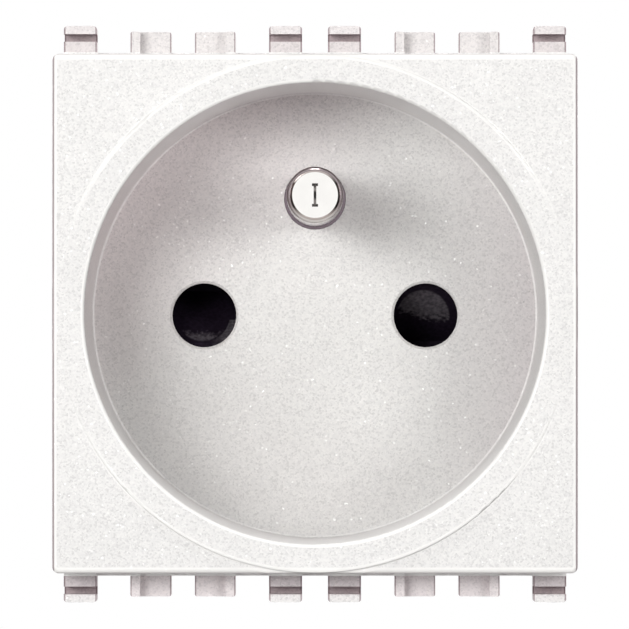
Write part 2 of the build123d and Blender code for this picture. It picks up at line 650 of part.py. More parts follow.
with BuildPart() as rear_housing:
    with BuildSketch(front_plane(SKIRT_OVERLAP)):
        RectangleRounded(housing_width, housing_height, HOUSING_CORNER_RADIUS)
    extrude(amount=SKIRT_OVERLAP - housing_back_y, taper=HOUSING_DRAFT)
    rear_half_height = faces().sort_by(Axis.Y)[-1].bounding_box().max.Z
    with BuildSketch(Plane.YZ):
        for level in (rear_half_height, -rear_half_height):
            with Locations((housing_back_y, level)):
                Rectangle(2**0.5 * HOUSING_BEVEL, 2**0.5 * HOUSING_BEVEL, rotation=45)
    extrude(amount=housing_width, both=True, mode=Mode.SUBTRACT)
    fillet(faces().sort_by(Axis.Y)[-1].edges(), HOUSING_EDGE_RADIUS)
    for side in (-1, 1):
        with BuildSketch(Plane.YZ.offset(side * housing_width / 2)):
            with Locations((panel_mid_y, 0)):
                RectangleRounded(PANEL_LENGTH, PANEL_HEIGHT, PANEL_CORNER_RADIUS)
        extrude(amount=-side * PANEL_DEPTH, mode=Mode.SUBTRACT)
    with BuildSketch(front_plane(pad_back_y)):
        with Locations(*pad_places):
            SlotCenterToCenter(WIRE_ENTRY_PITCH, pad_height)
    extrude(amount=WIRE_PAD_RISE + HOUSING_REAR_WALL / 2)
    with BuildSketch(front_plane(cup_seat_y)):
        Circle(cup_radius + CUP_CLEARANCE)
    extrude(amount=cup_seat_y - SKIRT_OVERLAP, mode=Mode.SUBTRACT)
    with BuildSketch(front_plane(tray_back_y)):
        Circle(tray_radius + TRAY_PLAY)
    extrude(amount=tray_back_y - cup_seat_y, mode=Mode.SUBTRACT)
    with BuildSketch(front_plane(pocket_end_y)):
        with Locations((0, pocket_base)):
            Rectangle(pocket_width, pocket_top - pocket_base, align=(Align.CENTER, Align.MIN))
        with Locations((-pin_x, -pocket_top), (pin_x, -pocket_top)):
            Rectangle(pocket_width, pocket_top + contact_pocket_top, align=(Align.CENTER, Align.MIN))
    extrude(amount=pocket_end_y - cup_seat_y, mode=Mode.SUBTRACT)
    for site_x, site_side in terminal_sites.values():
        with BuildSketch(terminal_plane(site_x, site_side, block_top_level)):
            Circle(screw_well_radius)
        extrude(amount=housing_height / 2, mode=Mode.SUBTRACT)
    with Locations(rear_plane(pad_back_y)):
        with Locations(*wire_places):
            CounterSinkHole(
                radius=WIRE_ENTRY_DIAMETER / 2,
                counter_sink_radius=WIRE_ENTRY_FUNNEL / 2,
                depth=pad_back_y - pocket_end_y,
                counter_sink_angle=90,
            )
    with BuildSketch(front_plane(case_seat_y)):
        with Locations(*boss_places):
            Circle(case_well_radius)
    extrude(amount=case_seat_y - housing_back_y, mode=Mode.SUBTRACT)
    with BuildSketch(front_plane(SKIRT_OVERLAP)):
        with Locations(*boss_places):
            Circle(CASE_SCREW_DIAMETER / 2 + CASE_SCREW_CLEARANCE)
    extrude(amount=-CASE_SCREW_GRIP, mode=Mode.SUBTRACT)
    with BuildSketch(front_plane(SKIRT_OVERLAP)):
        with Locations(*peg_places):
            Circle(PEG_DIAMETER / 2 + PEG_CLEARANCE)
    extrude(amount=-PEG_LENGTH - PEG_CLEARANCE, mode=Mode.SUBTRACT)
    with BuildSketch(front_plane(housing_back_y)):
        with Locations((-core_mid_x, core_mid_z), (core_mid_x, core_mid_z)):
            with GridLocations(core_slot_width + CORE_RIB, core_height, 3, 1):
                Rectangle(core_slot_width, core_height)
    extrude(amount=CORE_SLOT_DEPTH, mode=Mode.SUBTRACT)
save(rear_housing, "rear_housing")

# Case screws: driven from the rear wells into the bosses of the front cover
with BuildPart() as case_screws:
    with BuildSketch(front_plane(case_seat_y)):
        with Locations(*boss_places):
            Circle(CASE_SCREW_DIAMETER / 2)
    extrude(amount=CASE_SCREW_GRIP + CASE_SCREW_REACH - CASE_SCREW_END_GAP)
    with BuildSketch(front_plane(case_seat_y)):
        with Locations(*boss_places):
            Circle(CASE_SCREW_HEAD_DIAMETER / 2)
    extrude(amount=-CASE_SCREW_HEAD_HEIGHT)
    with BuildSketch(front_plane(case_seat_y + CASE_SCREW_HEAD_HEIGHT)):
        with Locations(*boss_places):
            Rectangle(CASE_SCREW_HEAD_DIAMETER, SCREW_SLOT_WIDTH)
    extrude(amount=SCREW_SLOT_DEPTH, mode=Mode.SUBTRACT)
save(case_screws, "case_screws")
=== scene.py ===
# %% [markdown]
# # A socket outlet insert, dressed in Blender
# The solids of the insert come from CAD and are loaded here as a fixed frame. They already have the right
# shapes and places, so this lesson gives them their real finishes, adds the small details that a solid
# model leaves out, and then sets up the camera and the light of a plain studio picture. Everything is in
# metres: X runs to the right, Z up, and Y into the wall, with the face towards -Y.

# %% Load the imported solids
import math
import bmesh
import bpy
from mathutils import Matrix, Vector
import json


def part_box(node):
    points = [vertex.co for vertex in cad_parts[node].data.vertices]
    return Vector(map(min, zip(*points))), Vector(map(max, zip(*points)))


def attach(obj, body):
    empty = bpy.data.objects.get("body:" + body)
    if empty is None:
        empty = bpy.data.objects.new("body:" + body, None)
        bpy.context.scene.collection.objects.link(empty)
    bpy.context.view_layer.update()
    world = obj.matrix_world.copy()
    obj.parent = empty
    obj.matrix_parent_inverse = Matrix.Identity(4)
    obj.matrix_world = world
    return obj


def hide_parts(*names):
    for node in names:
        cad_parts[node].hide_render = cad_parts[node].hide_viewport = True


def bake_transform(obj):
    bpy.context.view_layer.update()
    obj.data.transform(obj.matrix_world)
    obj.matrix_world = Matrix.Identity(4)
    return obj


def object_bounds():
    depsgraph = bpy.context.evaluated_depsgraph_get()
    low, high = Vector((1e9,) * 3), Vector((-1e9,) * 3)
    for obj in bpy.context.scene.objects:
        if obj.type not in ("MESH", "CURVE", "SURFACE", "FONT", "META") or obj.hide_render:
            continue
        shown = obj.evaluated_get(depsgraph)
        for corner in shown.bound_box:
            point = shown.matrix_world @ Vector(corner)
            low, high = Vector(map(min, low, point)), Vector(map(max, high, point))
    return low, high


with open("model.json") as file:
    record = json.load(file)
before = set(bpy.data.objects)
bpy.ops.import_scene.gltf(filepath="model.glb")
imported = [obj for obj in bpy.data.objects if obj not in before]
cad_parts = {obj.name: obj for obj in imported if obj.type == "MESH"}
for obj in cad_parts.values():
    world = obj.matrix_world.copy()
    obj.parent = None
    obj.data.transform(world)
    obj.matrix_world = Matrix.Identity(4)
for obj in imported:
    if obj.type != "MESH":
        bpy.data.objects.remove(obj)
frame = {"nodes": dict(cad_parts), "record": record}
cad_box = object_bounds()
MM = 0.001
print("CAD box:", [[round(v / MM, 2) for v in corner] for corner in cad_box])

# %% [markdown]
# ## Helpers for finishes
# Colours are written as sRGB hex values, the way a picture program shows them. Blender's shaders work with
# linear light, so one function converts them. A second small function adds one node: it takes the node's
# settings and its inputs, and an input is either a plain value or the output of another node. Three more
# start a material, fill a colour ramp, and turn a real size in millimetres into the scale of a pattern.

# %% Colour and node helpers
def linear(hex_colour):
    """An sRGB hex colour as linear red, green, blue and alpha."""
    channels = [int(hex_colour[i:i + 2], 16) / 255 for i in (1, 3, 5)]
    light = [c / 12.92 if c <= 0.04045 else ((c + 0.055) / 1.055) ** 2.4 for c in channels]
    return (*light, 1.0)


def add(tree, kind, settings=None, inputs=None):
    """Add a node, apply its settings, and fill or link its inputs."""
    node = tree.nodes.new(kind)
    for name, value in (settings or {}).items():
        setattr(node, name, value)
    for socket, value in (inputs or {}).items():
        if isinstance(value, bpy.types.NodeSocket):
            tree.links.new(value, node.inputs[socket])
        else:
            node.inputs[socket].default_value = value
    return node


def start_finish(name):
    """A new material with an empty node tree, its output node and its object coordinates."""
    finish = bpy.data.materials.new(name)
    finish.use_nodes = True
    finish.node_tree.nodes.clear()
    output = add(finish.node_tree, "ShaderNodeOutputMaterial")
    place = add(finish.node_tree, "ShaderNodeTexCoord").outputs["Object"]
    return finish, finish.node_tree, output, place


def stops(ramp_node, points, smooth="LINEAR"):
    """Set the stops of a colour ramp from (position, hex colour) pairs."""
    ramp = ramp_node.color_ramp
    ramp.interpolation = smooth
    while len(ramp.elements) < len(points):
        ramp.elements.new(1.0)
    for element, (position, colour) in zip(ramp.elements, points):
        element.position = position
        element.color = linear(colour)
    return ramp_node.outputs["Color"]


def per_metre(size_mm):
    """Texture scale at which one cell or wave is size_mm long."""
    return 1000.0 / size_mm


print("white is", [round(c, 3) for c in linear("#ffffff")])

# %% [markdown]
# ## Masks from places
# Several tones below belong to a place on the part: a border, a groove, a band around an axis. A mask says
# how much a point belongs to the place, from 0 to 1. `band` makes one from a single measure, such as a
# depth or a distance, `both` keeps the places where all of its masks hold, and `toned` tints or replaces a
# colour there.

# %% Mask helpers
def band(tree, value, low, high, soft):
    """1 where value is between low and high, falling to 0 over a soft border outside."""
    rise = add(tree, "ShaderNodeMapRange", {}, {"Value": value, "From Min": low - soft, "From Max": low})
    fall = add(tree, "ShaderNodeMapRange", {}, {
        "Value": value, "From Min": high, "From Max": high + soft, "To Min": 1.0, "To Max": 0.0})
    return both(tree, rise.outputs["Result"], fall.outputs["Result"])


def both(tree, first, *others):
    """The product of masks."""
    for other in others:
        first = add(tree, "ShaderNodeMath", {"operation": "MULTIPLY"}, {0: first, 1: other}).outputs[0]
    return first


def toned(tree, colour, mask, tint, blend="MULTIPLY"):
    """A colour that is multiplied by a tint, or replaced by it, where the mask holds."""
    mix = add(tree, "ShaderNodeMix", {"data_type": "RGBA", "blend_type": blend}, {
        "Factor": mask, "A": colour, "B": linear(tint) if isinstance(tint, str) else tint})
    return mix.outputs["Result"]


print("mask helpers ready")

# %% [markdown]
# ## Pearl-white moulded plastic
# The face is a polycarbonate blend with fine mica flakes stirred into it. Up close it shows a grain of
# specks a tenth or two of a millimetre wide, and the melt leaves faint clouds of tone. A Voronoi texture
# gives a random number to each of its cells, which suits flakes, and a soft noise suits the clouds.

# %% Pearl plastic: flakes and flow
FLAKE = 0.14
FLAKE_TONES = [(0.0, "#d4d2d3"), (0.3, "#e3e1e2"), (1.0, "#eeecec")]
FLOW_CLOUD = 7.0
FLOW_TONES = [(0.3, "#fbfbfb"), (0.7, "#ffffff")]

pearl, tree, output, place = start_finish("pearl_polycarbonate_moulded")
flake = add(tree, "ShaderNodeTexVoronoi", {}, {"Vector": place, "Scale": per_metre(FLAKE)})
flake_number = add(tree, "ShaderNodeSeparateColor", {}, {"Color": flake.outputs["Color"]}).outputs["Red"]
flake_ramp = add(tree, "ShaderNodeValToRGB", {}, {"Fac": flake_number})
cloud = add(tree, "ShaderNodeTexNoise", {}, {
    "Vector": place, "Scale": per_metre(FLOW_CLOUD), "Detail": 2.0})
cloud_ramp = add(tree, "ShaderNodeValToRGB", {}, {"Fac": cloud.outputs["Fac"]})
colour = toned(tree, stops(flake_ramp, FLAKE_TONES), 1.0, stops(cloud_ramp, FLOW_TONES))
print("flakes of", FLAKE, "mm in clouds of", FLOW_CLOUD, "mm")

# %% [markdown]
# A few flakes glint, because each is a tiny mirror that lies at its own angle. A second Voronoi picks a few
# cells in a hundred. They will be made a little metallic, and their normals lean by random amounts.

# %% Pearl plastic: glints
GLINT = 0.13
GLINT_RARE = (0.96, 0.99)
GLINT_LEAN = 0.4

glint = add(tree, "ShaderNodeTexVoronoi", {}, {"Vector": place, "Scale": per_metre(GLINT)})
glint_number = add(tree, "ShaderNodeSeparateColor", {}, {"Color": glint.outputs["Color"]}).outputs["Green"]
glinting = add(tree, "ShaderNodeMapRange", {}, {
    "Value": glint_number, "From Min": GLINT_RARE[0], "From Max": GLINT_RARE[1]}).outputs["Result"]
lean = add(tree, "ShaderNodeVectorMath", {"operation": "MULTIPLY_ADD"}, {
    0: glint.outputs["Color"], 1: (GLINT_LEAN, 0, GLINT_LEAN), 2: (-GLINT_LEAN / 2, 0, -GLINT_LEAN / 2)})
leaned = add(tree, "ShaderNodeVectorMath", {"operation": "SCALE"}, {
    0: lean.outputs["Vector"], "Scale": glinting})
moulded_normal = add(tree, "ShaderNodeNewGeometry").outputs["Normal"]
flake_normal = add(tree, "ShaderNodeVectorMath", {"operation": "ADD"}, {
    0: leaned.outputs["Vector"], 1: moulded_normal})
print("glints of", GLINT, "mm")

# %% [markdown]
# Tones that belong to a place need measures of a point. Four are enough here: its distance from the plug
# axis, how far it lies to the side and up or down, and its depth. The first place is the recess, which is
# painted a shade darker than the face: painted shade in the hollow.

# %% Pearl plastic: measures and recess
LIP_BACK = -8.7 * MM
RECESS_BACK = 9 * MM
RECESS_ROUND = 19.6 * MM
RECESS_SHADE_TINT = "#f2f2f1"

measures = add(tree, "ShaderNodeSeparateXYZ", {}, {"Vector": place}).outputs
depth, height = measures["Y"], measures["Z"]
outward = add(tree, "ShaderNodeVectorMath", {"operation": "ABSOLUTE"}, {0: place}).outputs["Vector"]
away = add(tree, "ShaderNodeSeparateXYZ", {}, {"Vector": outward}).outputs
aside, apart = away["X"], away["Z"]
flat = add(tree, "ShaderNodeVectorMath", {"operation": "MULTIPLY"}, {
    0: place, 1: (1, 0, 1)}).outputs["Vector"]
radius = add(tree, "ShaderNodeVectorMath", {"operation": "LENGTH"}, {0: flat}).outputs["Value"]
in_recess = both(tree, band(tree, depth, LIP_BACK, RECESS_BACK, soft=0.04 * MM),
                 band(tree, radius, 0, RECESS_ROUND, soft=0.05 * MM))
# painted shade: the whole recess is tinted darker than the face
colour = toned(tree, colour, in_recess, RECESS_SHADE_TINT)
print("the recess lies within", round(RECESS_ROUND / MM, 1), "mm of the axis")

# %% [markdown]
# The floor of the recess gets painted shade at the right and at the lower left, which makes both sides a
# shade darker. The upper left of the recess is painted a little warmer, the tint of its painted shade. A
# dot product with a direction measures how far a point lies that way.

# %% Pearl plastic: painted shade in the recess
FLOOR_FRONT = 5.4 * MM
RIGHT_SHADE = (10 * MM, 18.5 * MM)
RIGHT_SHADE_TINT = "#e6e2e4"
LOWER_LEFT_SHADE = (3 * MM, 11 * MM)
LOWER_LEFT_WAY = (-0.6, 0, -0.8)
LOWER_LEFT_REACH, LOWER_LEFT_FADE = 16.5 * MM, 3.5 * MM
LOWER_LEFT_SHADE_TINT = "#f3f2f2"
SHADE_WARMTH = (8 * MM, 26 * MM)
SHADE_WARMTH_WAY = (-1, 0, 1)
SHADE_WARMTH_TINT = "#fff7f9"

on_floor = both(tree, in_recess, band(tree, depth, FLOOR_FRONT, RECESS_BACK, soft=0.1 * MM))
right_shade = add(tree, "ShaderNodeMapRange", {}, {
    "Value": measures["X"], "From Min": RIGHT_SHADE[0], "From Max": RIGHT_SHADE[1]}).outputs["Result"]
colour = toned(tree, colour, both(tree, on_floor, right_shade), RIGHT_SHADE_TINT)
down_left = add(tree, "ShaderNodeVectorMath", {"operation": "DOT_PRODUCT"}, {0: place, 1: LOWER_LEFT_WAY})
lower_left_shade = add(tree, "ShaderNodeMapRange", {}, {
    "Value": down_left.outputs["Value"], "From Min": LOWER_LEFT_SHADE[0], "From Max": LOWER_LEFT_SHADE[1]}).outputs["Result"]
inside = band(tree, radius, 0, LOWER_LEFT_REACH, soft=LOWER_LEFT_FADE)
colour = toned(tree, colour, both(tree, on_floor, lower_left_shade, inside), LOWER_LEFT_SHADE_TINT)
up_left = add(tree, "ShaderNodeVectorMath", {"operation": "DOT_PRODUCT"}, {0: place, 1: SHADE_WARMTH_WAY})
shade_warmth = add(tree, "ShaderNodeMapRange", {}, {
    "Value": up_left.outputs["Value"], "From Min": SHADE_WARMTH[0], "From Max": SHADE_WARMTH[1]}).outputs["Result"]
colour = toned(tree, colour, both(tree, in_recess, shade_warmth), SHADE_WARMTH_TINT)
# the flow marks named in this print are the painted shade above
print("flow marks at the right, the lower left and the upper left")

# %% [markdown]
# The border of the face, the lip of the recess, the corner of its floor and the edge of the ring are
# painted
# paler: painted highlights along rounded edges. The ring's edge is pale at the top and bottom and fades
# towards the sides. The wall of the recess is painted paler at the top and bottom as well, a painted light
# on the wall's shade.

# %% Pearl plastic: painted highlights on edges
HIGHLIGHT_PAINT = "#f2f0f0"
WALL = (19.07 * MM, 19.6 * MM)
WALL_BACK = 5.3 * MM
WALL_LIGHT = (9 * MM, 17 * MM)
WALL_LIGHT_MOST = 0.7
FACE_HALF = (22.15 * MM, 21.9 * MM)
FACE_SPAN = (-9.1 * MM, -8.32 * MM)
BORDER = (0.34 * MM, 0.46 * MM)
LIP = (19.5 * MM, 19.72 * MM)
RING = (21.6 * MM, 21.92 * MM)
RING_FADE = (6 * MM, 14 * MM)
FLOOR_CORNER = (18.95 * MM, 19.08 * MM)
CORNER_SHARE = 0.5

on_wall = both(tree, in_recess, band(tree, depth, LIP_BACK, WALL_BACK, soft=0.1 * MM),
               band(tree, radius, *WALL, soft=0.02 * MM))
wall_light = add(tree, "ShaderNodeMapRange", {}, {
    "Value": apart, "From Min": WALL_LIGHT[0], "From Max": WALL_LIGHT[1], "To Max": WALL_LIGHT_MOST}).outputs["Result"]
at_front = band(tree, depth, *FACE_SPAN, soft=0.08 * MM)
borders = [both(tree, at_front, band(tree, measure, half - width, half + MM, soft=0.07 * MM))
           for measure, half, width in zip((aside, apart), FACE_HALF, BORDER)]
lip = band(tree, radius, *LIP, soft=0.05 * MM)
ring_fade = add(tree, "ShaderNodeMapRange", {"interpolation_type": "SMOOTHSTEP"}, {
    "Value": apart, "From Min": RING_FADE[0], "From Max": RING_FADE[1]}).outputs["Result"]
ring = both(tree, at_front, band(tree, radius, *RING, soft=0.06 * MM), ring_fade)
corner = both(tree, in_recess, band(tree, radius, *FLOOR_CORNER, soft=0.05 * MM), CORNER_SHARE)
# painted highlights and painted light, mixed over the colour
painted_light_places = [both(tree, on_wall, wall_light), *borders, lip, ring, corner]
for painted_light_place in painted_light_places:
    colour = toned(tree, colour, painted_light_place, HIGHLIGHT_PAINT, "MIX")
print(len(painted_light_places), "pale places, borders", [round(b / MM, 2) for b in BORDER], "mm wide")

# %% [markdown]
# Some places are painted darker. The sharp outer edge of the face gets a thin grey line of painted shade,
# and the clip teeth get painted shade, as they lie in the shade of the face. Along a row, the teeth repeat
# to the left and right of two module centres, so the distance from the nearest module centre tells the
# outer hooks from the inner stubs. A colour ramp over the height paints shade on the hooks, deepest just
# under the face.
# The narrow ledge below the face, which the face shades, is painted pale: painted light.

# %% Pearl plastic: outer edge and teeth
OUTER_LINE = (0.16 * MM, 0.05 * MM)
OUTER_PAST = 0.04 * MM
OUTER_SHADE_TINTS = ("#b4a9ad", "#dfdadb")
MODULE_CENTRE = 11.2 * MM
LEDGE = (21.93 * MM, 22.19 * MM)
LEDGE_LIGHT_TONE = "#fbfafa"
TEETH_FOOT, TEETH_REACH = 22.22 * MM, 24.5 * MM
HOOKS = (7 * MM, 10.4 * MM)
HOOK_TONES = [(0.0, "#ffffff"), (0.012, "#fcf9fa"), (0.018, "#e6dfe1"), (0.03, "#ddd5d8"),
              (0.0465, "#d8d0d3"), (0.5, "#e8e2e3"), (0.97, "#e8e2e3"), (0.985, "#f2eeef")]
STUBS = (0, 4.6 * MM)
LOWER_STUB_TINT, UPPER_STUB_TINT = "#fbf4f6", "#efecec"

# painted shade: a thin grey line along the outer edge of the face
for measure, half, width, tint in zip((aside, apart), FACE_HALF, OUTER_LINE, OUTER_SHADE_TINTS):
    line = both(tree, at_front, band(tree, measure, half - width, half + OUTER_PAST, soft=0.03 * MM))
    colour = toned(tree, colour, line, tint)
on_teeth = band(tree, apart, TEETH_FOOT, TEETH_REACH, soft=0.03 * MM)
signed = add(tree, "ShaderNodeMath", {"operation": "SUBTRACT"}, {0: aside, 1: MODULE_CENTRE}).outputs[0]
from_centre = add(tree, "ShaderNodeMath", {"operation": "ABSOLUTE"}, {0: signed}).outputs[0]
on_hooks = both(tree, on_teeth, band(tree, from_centre, *HOOKS, soft=0.02 * MM))
along = add(tree, "ShaderNodeMapRange", {}, {
    "Value": height, "From Min": -TEETH_REACH, "From Max": TEETH_REACH}).outputs["Result"]
shade_ramp = add(tree, "ShaderNodeValToRGB", {}, {"Fac": along})
colour = toned(tree, colour, on_hooks, stops(shade_ramp, HOOK_TONES))
on_stubs = both(tree, on_teeth, band(tree, from_centre, *STUBS, soft=0.1 * MM))
lower_row = band(tree, height, -TEETH_REACH, 0, soft=0.1 * MM)
upper_row = band(tree, height, 0, TEETH_REACH, soft=0.1 * MM)
colour = toned(tree, colour, both(tree, on_stubs, lower_row), LOWER_STUB_TINT)
colour = toned(tree, colour, both(tree, on_stubs, upper_row), UPPER_STUB_TINT)
# painted light: the shaded ledge under the face is mixed pale
ledge = both(tree, band(tree, apart, *LEDGE, soft=0.02 * MM), lower_row)
colour = toned(tree, colour, ledge, LEDGE_LIGHT_TONE, "MIX")
print("outer edge, hooks and stubs shaded")

# %% [markdown]
# The fronts of the teeth get painted shade right at their edges, and the slots in the hooks are painted
# darker as painted shade. The distance from the module centre finds the edges, and the normal tells a front
# from a side: on a front its Y is -1.

# %% Pearl plastic: edges and slots of the teeth
TOOTH_SIDES_MM = ((1.0, 1.1), (4.36, 4.45), (7.3, 7.42), (9.98, 10.1))
TOOTH_EDGE_SHADE_TINT = "#b5a9ad"
FRONTAL = (-1.1, -0.8)
HOOK_SLOT = (23.1 * MM, 23.75 * MM)
SLOT_DEPTH = (-3.45 * MM, -0.8 * MM)
SLOT_SHADE_TINT = "#d6cacd"

facing = add(tree, "ShaderNodeSeparateXYZ", {}, {"Vector": moulded_normal}).outputs["Y"]
fronts = both(tree, on_teeth, band(tree, facing, *FRONTAL, soft=0.3))
for low, high in TOOTH_SIDES_MM:
    side = both(tree, fronts, band(tree, from_centre, low * MM, high * MM, soft=0.03 * MM))
    colour = toned(tree, colour, side, TOOTH_EDGE_SHADE_TINT)
slot = both(tree, on_hooks, band(tree, apart, *HOOK_SLOT, soft=0.02 * MM),
            band(tree, depth, *SLOT_DEPTH, soft=0.1 * MM))
# painted shade inside the hook slots
colour = toned(tree, colour, slot, SLOT_SHADE_TINT)
print("teeth edged,", len(TOOTH_SIDES_MM), "side lines in each half module")

# %% [markdown]
# The skin has a faint orange peel, as moulded plastic does. The outer edge of the ring is a step so low and
# so rounded that light glides over it, so its normals are turned to the front, as those of the face are.

# %% Pearl plastic: skin and shader
PEEL = 0.45
PEEL_STRENGTH, PEEL_RISE = 0.06, 0.03 * MM
RING_STEP = (21.5 * MM, 22.15 * MM)
RING_TURN = 4.0
FLAKE_GLOSS = (0.4, 0.52)
GLINT_METAL = 0.3

on_step = both(tree, band(tree, radius, *RING_STEP, soft=0.1 * MM), at_front, RING_TURN)
frontward = add(tree, "ShaderNodeVectorMath", {"operation": "SCALE"}, {0: (0, -1, 0), "Scale": on_step})
skin_normal = add(tree, "ShaderNodeVectorMath", {"operation": "ADD"}, {
    0: flake_normal.outputs["Vector"], 1: frontward.outputs["Vector"]})
gloss = add(tree, "ShaderNodeMapRange", {}, {
    "Value": flake_number, "To Min": FLAKE_GLOSS[0], "To Max": FLAKE_GLOSS[1]})
peel = add(tree, "ShaderNodeTexNoise", {}, {"Vector": place, "Scale": per_metre(PEEL), "Detail": 1.0})
skin = add(tree, "ShaderNodeBump", {}, {
    "Strength": PEEL_STRENGTH, "Distance": PEEL_RISE, "Height": peel.outputs["Fac"],
    "Normal": skin_normal.outputs["Vector"]})
shader = add(tree, "ShaderNodeBsdfPrincipled", {}, {
    "Base Color": colour, "Metallic": both(tree, glinting, GLINT_METAL),
    "Roughness": gloss.outputs["Result"], "IOR": 1.58, "Specular IOR Level": 0.3,
    "Normal": skin.outputs["Normal"]})
tree.links.new(shader.outputs["BSDF"], output.inputs["Surface"])
print(pearl.name, len(tree.nodes), "nodes")

# %% [markdown]
# ## Grey moulded housing
# Behind the face sits a base of glass-filled polyamide, a tough grey plastic. Its mould is spark-eroded, so
# the skin has a fine even grain, and the glass gives it faint pale streaks. Noise of two sizes does both.

# %% Housing plastic
GRAIN = 0.14
GRAIN_TONES = [(0.3, "#9fa1a4"), (0.7, "#a9abae")]
GRAIN_GLOSS = (0.48, 0.66)
STREAK = 2.4
STREAK_TONES = [(0.35, "#f8f8f8"), (0.65, "#ffffff")]

polyamide, tree, output, place = start_finish("grey_polyamide_spark_grain")
grain = add(tree, "ShaderNodeTexNoise", {}, {
    "Vector": place, "Scale": per_metre(GRAIN), "Detail": 3.0}).outputs["Fac"]
streak = add(tree, "ShaderNodeTexNoise", {}, {
    "Vector": place, "Scale": per_metre(STREAK), "Detail": 4.0}).outputs["Fac"]
grain_ramp = add(tree, "ShaderNodeValToRGB", {}, {"Fac": grain})
streak_ramp = add(tree, "ShaderNodeValToRGB", {}, {"Fac": streak})
colour = toned(tree, stops(grain_ramp, GRAIN_TONES), 1.0, stops(streak_ramp, STREAK_TONES))
gloss = add(tree, "ShaderNodeMapRange", {}, {
    "Value": grain, "To Min": GRAIN_GLOSS[0], "To Max": GRAIN_GLOSS[1]})
skin = add(tree, "ShaderNodeBump", {}, {"Strength": 0.25, "Distance": 0.03 * MM, "Height": grain})
shader = add(tree, "ShaderNodeBsdfPrincipled", {}, {
    "Base Color": colour, "Roughness": gloss.outputs["Result"], "IOR": 1.53,
    "Normal": skin.outputs["Normal"]})
tree.links.new(shader.outputs["BSDF"], output.inputs["Surface"])
print(polyamide.name, len(tree.nodes), "nodes")

# %% [markdown]
# ## Dark shutter plastic
# The turning shutter and its tray are acetal, a slippery plastic that needs no oil. It is almost black, and
# where light falls through the holes it is painted a mottled grey, as painted light. One noise mottles both
# tones.

# %% Shutter plastic: two tones
MOTTLE = 0.3
PLAIN_TONES = [(0.3, "#140d18"), (0.7, "#231b28")]
LIT_TONES = [(0.35, "#423d43"), (0.7, "#656066")]

acetal, tree, output, place = start_finish("dark_acetal_moulded")
mottle = add(tree, "ShaderNodeTexNoise", {}, {
    "Vector": place, "Scale": per_metre(MOTTLE), "Detail": 3.0}).outputs["Fac"]
plain = stops(add(tree, "ShaderNodeValToRGB", {}, {"Fac": mottle}), PLAIN_TONES)
painted_light = stops(add(tree, "ShaderNodeValToRGB", {}, {"Fac": mottle}), LIT_TONES)
print("mottled every", MOTTLE, "mm")

# %% [markdown]
# Painted light lies on the two ramps where light reaches through the holes, on the right-hand blade further
# down its ramp than on the left one, and stronger. First the depth: each ramp is painted lit down to a
# limit, and the noise makes that border ragged.

# %% Shutter plastic: how deep the painted light reaches
SLANT = (4.0 * MM, 9.6 * MM)
LIT_LEFT, LIT_RIGHT = 9.12 * MM, 11.15 * MM
LIT_FADE = 0.3 * MM
RAGGED = (0.3, 0.7)

across = add(tree, "ShaderNodeSeparateXYZ", {}, {"Vector": place}).outputs
limit = add(tree, "ShaderNodeMapRange", {}, {
    "Value": across["X"], "From Min": SLANT[0], "From Max": SLANT[1],
    "To Min": LIT_LEFT, "To Max": LIT_RIGHT}).outputs["Result"]
ragged = add(tree, "ShaderNodeMapRange", {}, {
    "Value": mottle, "From Min": RAGGED[0], "From Max": RAGGED[1],
    "To Min": -LIT_FADE, "To Max": LIT_FADE}).outputs["Result"]
reach = add(tree, "ShaderNodeMath", {"operation": "ADD"}, {0: limit, 1: ragged}).outputs[0]
short_of = add(tree, "ShaderNodeMath", {"operation": "SUBTRACT"}, {0: reach, 1: across["Y"]}).outputs[0]
lit_to_depth = add(tree, "ShaderNodeMapRange", {}, {
    "Value": short_of, "From Min": -LIT_FADE, "From Max": LIT_FADE}).outputs["Result"]
print("rubbed down to", [round(end / MM, 2) for end in (LIT_LEFT, LIT_RIGHT)], "mm")

# %% [markdown]
# Then the outline: the painted light is round like the hole whose rim shadows it, and a little off the
# hole's middle. `blade` is -1 on the left blade and 1 on the right one, which puts a middle in each hole,
# and the distance from that middle gives the round patch of painted light.

# %% Shutter plastic: round patches of painted light
BLADE_APART = 4.0 * MM
HOLE_APART = 9.5 * MM
LIT_ASIDE, LIT_LOWER = 0.18 * MM, 0.1 * MM
LIT_ROUND, LIT_BORDER = 2.2 * MM, 0.15 * MM
LIT_STRENGTH = (0.7, 1.0)

blade = add(tree, "ShaderNodeMapRange", {}, {
    "Value": across["X"], "From Min": -BLADE_APART, "From Max": BLADE_APART,
    "To Min": -1.0, "To Max": 1.0}).outputs["Result"]
middle = add(tree, "ShaderNodeVectorMath", {"operation": "SCALE"}, {
    0: (HOLE_APART, 0, -LIT_LOWER), "Scale": blade}).outputs["Vector"]
offset = add(tree, "ShaderNodeVectorMath", {"operation": "SUBTRACT"}, {0: place, 1: middle})
flat = add(tree, "ShaderNodeVectorMath", {"operation": "MULTIPLY_ADD"}, {
    0: offset.outputs["Vector"], 1: (1, 0, 1), 2: (LIT_ASIDE, 0, 0)}).outputs["Vector"]
from_middle = add(tree, "ShaderNodeVectorMath", {"operation": "LENGTH"}, {0: flat}).outputs["Value"]
in_round = add(tree, "ShaderNodeMapRange", {}, {
    "Value": from_middle, "From Min": LIT_ROUND, "From Max": LIT_ROUND + LIT_BORDER,
    "To Min": 1.0, "To Max": 0.0}).outputs["Result"]
strength = add(tree, "ShaderNodeMapRange", {}, {
    "Value": blade, "From Min": -1.0,
    "To Min": LIT_STRENGTH[0], "To Max": LIT_STRENGTH[1]}).outputs["Result"]
tone = toned(tree, plain, both(tree, lit_to_depth, in_round, strength), painted_light, "MIX")
# the round marks printed here are patches of painted light
print("round marks of", round(LIT_ROUND / MM, 1), "mm radius")

